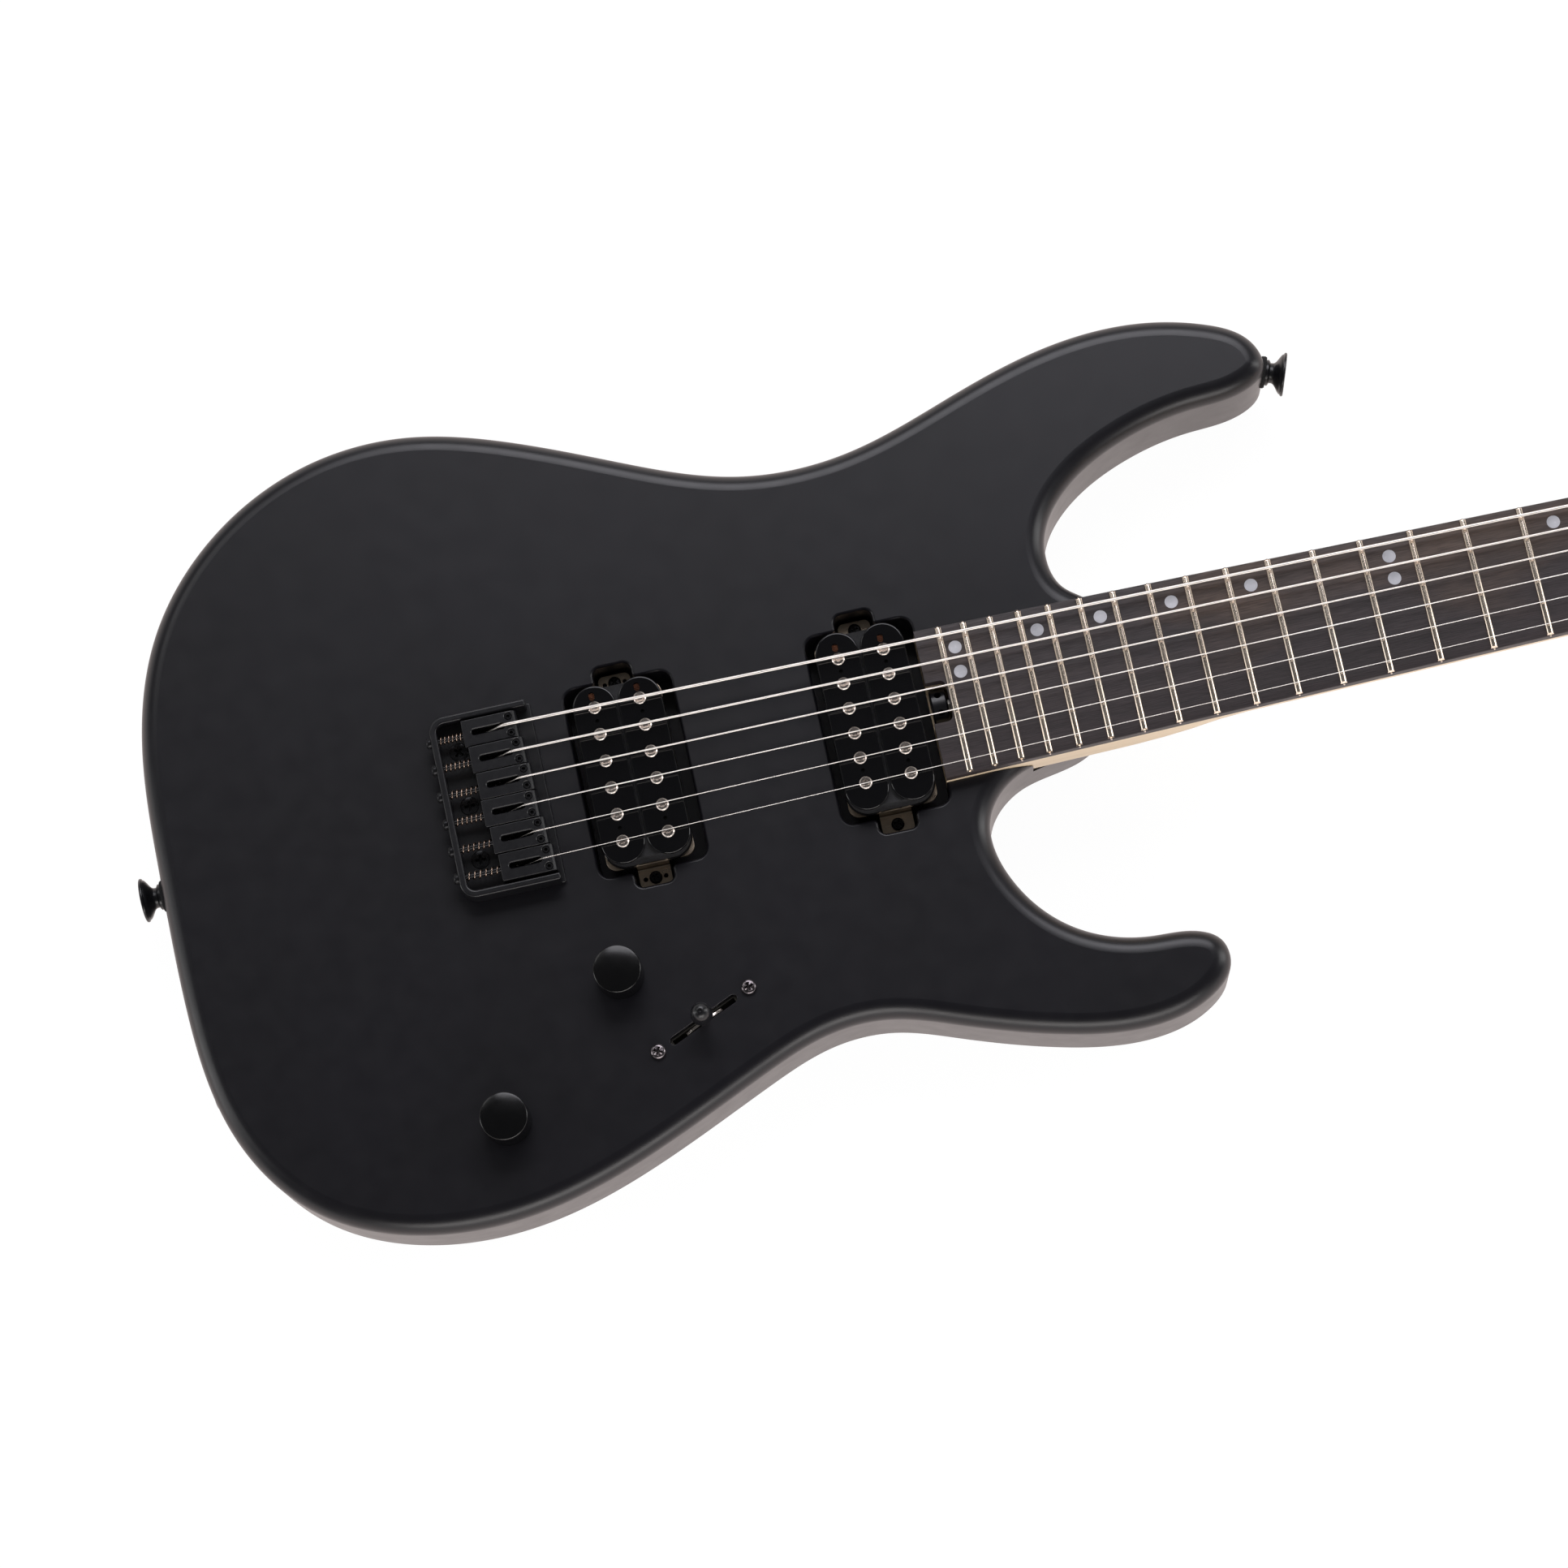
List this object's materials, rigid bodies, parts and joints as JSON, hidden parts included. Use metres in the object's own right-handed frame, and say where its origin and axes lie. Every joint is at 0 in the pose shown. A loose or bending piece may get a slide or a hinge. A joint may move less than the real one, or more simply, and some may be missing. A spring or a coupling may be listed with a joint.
{
  "type": "electric guitar",
  "caption": "Solid-body electric guitar with two cutaways, bolt-on maple neck, fixed bridge, humbucking pickups, turning tuners, knobs and a pickup selector.",
  "frame": {"origin": "on the flat back of the body, on the centre line, straight below the start of the scale length at the bridge", "axes": "+X along the neck towards the headstock, +Y towards the bass side and upper horn, +Z out of the front face"},
  "size_m": [0.9865, 0.307, 0.0657],
  "materials": {
    "satin_black_body": "satin black lacquer over wood",
    "maple": "satin maple",
    "ebony": "oiled ebony",
    "nut_black": "polished black",
    "string_steel": "nickel-plated steel wire",
    "black_hardware": "satin black plating",
    "zinc_steel": "zinc-plated steel",
    "bobbin_black": "moulded gloss black",
    "baseplate_bronze": "dark bronze",
    "knob_black": "gloss black plating",
    "cover_black": "matte black"
  },
  "bodies": {
    "guitar": {"body": "satin_black_body", "neck": "maple", "fretboard": "ebony", "nut": "nut_black", "truss_rod": "zinc_steel", "bridge_plate": "black_hardware", "string_1": "string_steel", "string_2": "string_steel", "string_3": "string_steel", "string_4": "string_steel", "string_5": "string_steel", "string_6": "string_steel", "tuner_housing_1": "black_hardware", "tuner_housing_2": "black_hardware", "tuner_housing_3": "black_hardware", "tuner_housing_4": "black_hardware", "tuner_housing_5": "black_hardware", "tuner_housing_6": "black_hardware", "string_tree_1": "black_hardware", "string_tree_2": "black_hardware", "bridge_pickup_baseplate": "baseplate_bronze", "bridge_pickup_rear_bobbin": "bobbin_black", "bridge_pickup_front_bobbin": "bobbin_black", "neck_pickup_baseplate": "baseplate_bronze", "neck_pickup_rear_bobbin": "bobbin_black", "neck_pickup_front_bobbin": "bobbin_black", "volume_pot": "zinc_steel", "tone_pot": "zinc_steel", "switch_frame": "zinc_steel", "output_jack": "black_hardware", "strap_button_end": "black_hardware", "strap_button_horn": "black_hardware", "control_cover": "cover_black", "neck_screw_1": "black_hardware", "neck_screw_2": "black_hardware", "neck_screw_3": "black_hardware", "neck_screw_4": "black_hardware"},
    "truss_rod_wheel": {"truss_rod_wheel": "black_hardware"},
    "saddle_1": {"saddle_1": "black_hardware"},
    "saddle_2": {"saddle_2": "black_hardware"},
    "saddle_3": {"saddle_3": "black_hardware"},
    "saddle_4": {"saddle_4": "black_hardware"},
    "saddle_5": {"saddle_5": "black_hardware"},
    "saddle_6": {"saddle_6": "black_hardware"},
    "tuner_key_1": {"tuner_key_1": "black_hardware"},
    "tuner_post_1": {"tuner_post_1": "black_hardware"},
    "tuner_key_2": {"tuner_key_2": "black_hardware"},
    "tuner_post_2": {"tuner_post_2": "black_hardware"},
    "tuner_key_3": {"tuner_key_3": "black_hardware"},
    "tuner_post_3": {"tuner_post_3": "black_hardware"},
    "tuner_key_4": {"tuner_key_4": "black_hardware"},
    "tuner_post_4": {"tuner_post_4": "black_hardware"},
    "tuner_key_5": {"tuner_key_5": "black_hardware"},
    "tuner_post_5": {"tuner_post_5": "black_hardware"},
    "tuner_key_6": {"tuner_key_6": "black_hardware"},
    "tuner_post_6": {"tuner_post_6": "black_hardware"},
    "volume_knob": {"volume_knob": "knob_black"},
    "tone_knob": {"tone_knob": "knob_black"},
    "switch_lever": {"switch_lever": "zinc_steel", "switch_tip": "bobbin_black"}
  },
  "joints": [
    {"name": "truss_rod_turn", "type": "hinge", "parent": "guitar", "child": "truss_rod_wheel", "pos_m": [0.15632, 0, 0.0428], "axis": [1, 0, 0], "range_deg": [-180, 180]},
    {"name": "saddle_1_intonation", "type": "slide", "parent": "guitar", "child": "saddle_1", "axis": [1, 0, 0], "range_m": [0, 0.002]},
    {"name": "saddle_2_intonation", "type": "slide", "parent": "guitar", "child": "saddle_2", "axis": [1, 0, 0], "range_m": [0, 0.002]},
    {"name": "saddle_3_intonation", "type": "slide", "parent": "guitar", "child": "saddle_3", "axis": [1, 0, 0], "range_m": [0, 0.002]},
    {"name": "saddle_4_intonation", "type": "slide", "parent": "guitar", "child": "saddle_4", "axis": [1, 0, 0], "range_m": [0, 0.002]},
    {"name": "saddle_5_intonation", "type": "slide", "parent": "guitar", "child": "saddle_5", "axis": [1, 0, 0], "range_m": [0, 0.002]},
    {"name": "saddle_6_intonation", "type": "slide", "parent": "guitar", "child": "saddle_6", "axis": [1, 0, 0], "range_m": [0, 0.002]},
    {"name": "tuner_key_1_turn", "type": "hinge", "parent": "guitar", "child": "tuner_key_1", "pos_m": [0.68156, 0.02311, 0.0239], "axis": [0.2826, 0.9592, 0], "continuous": true},
    {"name": "tuner_post_1_turn", "type": "hinge", "parent": "guitar", "child": "tuner_post_1", "pos_m": [0.6877, 0.0213, 0.0239], "axis": [0, 0, 1], "continuous": true},
    {"name": "tuner_key_2_turn", "type": "hinge", "parent": "guitar", "child": "tuner_key_2", "pos_m": [0.70606, 0.01584, 0.0239], "axis": [0.2826, 0.9592, 0], "continuous": true},
    {"name": "tuner_post_2_turn", "type": "hinge", "parent": "guitar", "child": "tuner_post_2", "pos_m": [0.7122, 0.01404, 0.0239], "axis": [0, 0, 1], "continuous": true},
    {"name": "tuner_key_3_turn", "type": "hinge", "parent": "guitar", "child": "tuner_key_3", "pos_m": [0.73056, 0.00859, 0.0239], "axis": [0.2826, 0.9592, 0], "continuous": true},
    {"name": "tuner_post_3_turn", "type": "hinge", "parent": "guitar", "child": "tuner_post_3", "pos_m": [0.7367, 0.00679, 0.0239], "axis": [0, 0, 1], "continuous": true},
    {"name": "tuner_key_4_turn", "type": "hinge", "parent": "guitar", "child": "tuner_key_4", "pos_m": [0.75506, 0.00136, 0.0239], "axis": [0.2826, 0.9592, 0], "continuous": true},
    {"name": "tuner_post_4_turn", "type": "hinge", "parent": "guitar", "child": "tuner_post_4", "pos_m": [0.7612, -0.00045, 0.0239], "axis": [0, 0, 1], "continuous": true},
    {"name": "tuner_key_5_turn", "type": "hinge", "parent": "guitar", "child": "tuner_key_5", "pos_m": [0.77956, -0.00582, 0.0239], "axis": [0.2826, 0.9592, 0], "continuous": true},
    {"name": "tuner_post_5_turn", "type": "hinge", "parent": "guitar", "child": "tuner_post_5", "pos_m": [0.7857, -0.00763, 0.0239], "axis": [0, 0, 1], "continuous": true},
    {"name": "tuner_key_6_turn", "type": "hinge", "parent": "guitar", "child": "tuner_key_6", "pos_m": [0.80406, -0.01299, 0.0239], "axis": [0.2826, 0.9592, 0], "continuous": true},
    {"name": "tuner_post_6_turn", "type": "hinge", "parent": "guitar", "child": "tuner_post_6", "pos_m": [0.8102, -0.01479, 0.0239], "axis": [0, 0, 1], "continuous": true},
    {"name": "volume_turn", "type": "hinge", "parent": "guitar", "child": "volume_knob", "pos_m": [0.0176, -0.0744, 0.0445], "axis": [0, 0, 1], "range_deg": [-150, 150]},
    {"name": "tone_turn", "type": "hinge", "parent": "guitar", "child": "tone_knob", "pos_m": [-0.0345, -0.1192, 0.0445], "axis": [0, 0, 1], "range_deg": [-150, 150]},
    {"name": "pickup_switch_swing", "type": "hinge", "parent": "guitar", "child": "switch_lever", "pos_m": [0.0447, -0.0974, 0.0255], "axis": [-0.3987, 0.9171, 0], "range_deg": [-28, 28]}
  ],
  "couplings": [
    {"joint": "tuner_post_1_turn", "follows": "tuner_key_1_turn", "ratio": 0.0625},
    {"joint": "tuner_post_2_turn", "follows": "tuner_key_2_turn", "ratio": 0.0625},
    {"joint": "tuner_post_3_turn", "follows": "tuner_key_3_turn", "ratio": 0.0625},
    {"joint": "tuner_post_4_turn", "follows": "tuner_key_4_turn", "ratio": 0.0625},
    {"joint": "tuner_post_5_turn", "follows": "tuner_key_5_turn", "ratio": 0.0625},
    {"joint": "tuner_post_6_turn", "follows": "tuner_key_6_turn", "ratio": 0.0625}
  ]
}
